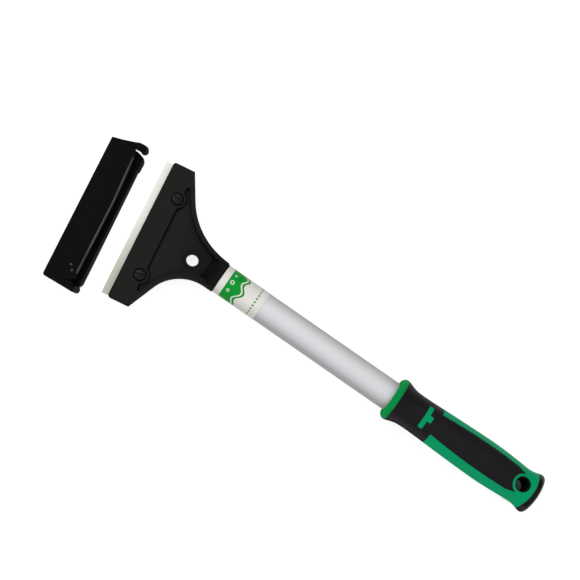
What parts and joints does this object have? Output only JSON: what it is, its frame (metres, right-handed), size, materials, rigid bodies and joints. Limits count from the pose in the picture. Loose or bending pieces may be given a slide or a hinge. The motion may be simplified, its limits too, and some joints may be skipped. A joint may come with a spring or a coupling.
{
  "type": "algae scraper",
  "caption": "Hand scraper for algae: a straight blade clamped in a flared black head on a slim metal tube, with a two-tone moulded grip and a slide-on blade cover.",
  "frame": {"origin": "centre of the hanging hole, on the handle's axis", "axes": "+Y along the handle towards the blade, +Z out of the face turned up when the scraper lies on a table, +X to the right of both"},
  "size_m": [0.1141, 0.3681, 0.0306],
  "materials": {
    "head_black": "fine moulded texture, semi-matte",
    "plate_steel": "rolled sheet steel",
    "blade_steel": "ground edge",
    "screw_black": "black oxide",
    "tube_aluminium": "satin anodised",
    "label_film": "printed film",
    "rivet_aluminium": "drawn",
    "grip_green": "moulded satin",
    "grip_soft": "soft-touch matte",
    "cap_black": "moulded",
    "cover_black": "moulded, lightly worn"
  },
  "bodies": {
    "handle": {"scraper_head": "head_black", "tube": "tube_aluminium", "label": "label_film", "head_rivet": "rivet_aluminium", "grip_core": "grip_green", "grip_overmould": "grip_soft", "grip_mark": "grip_green", "hang_eyelet": "cap_black", "end_cap": "cap_black"},
    "clamp_plate": {"blade_clamp_plate": "plate_steel"},
    "blade": {"scraper_blade": "blade_steel"},
    "screw_left": {"clamp_screw_left": "screw_black"},
    "screw_right": {"clamp_screw_right": "screw_black"},
    "cover": {"blade_cover": "cover_black"}
  },
  "joints": [
    {"name": "cover_slide", "type": "slide", "parent": "handle", "child": "cover", "axis": [0.2866, -0.9581, 0], "range_m": [0, 0.0322]},
    {"name": "blade_slide", "type": "slide", "parent": "handle", "child": "blade", "axis": [-0.9882, -0.153, 0], "range_m": [0, 0.1]},
    {"name": "screw_left_turn", "type": "hinge", "parent": "handle", "child": "screw_left", "pos_m": [-0.02792, 0.28601, -0.0071], "axis": [0, 0, 1], "range_deg": [0, 360]},
    {"name": "screw_right_turn", "type": "hinge", "parent": "handle", "child": "screw_right", "pos_m": [0.0284, 0.29473, -0.0071], "axis": [0, 0, 1], "range_deg": [0, 360]},
    {"name": "clamp_release", "type": "slide", "parent": "handle", "child": "clamp_plate", "axis": [0, 0, -1], "range_m": [0, 0.0007]}
  ],
  "couplings": [
    {"joint": "screw_left_turn", "follows": "clamp_release", "rad_per_m": 8975.9},
    {"joint": "screw_right_turn", "follows": "clamp_release", "rad_per_m": 8975.9}
  ]
}
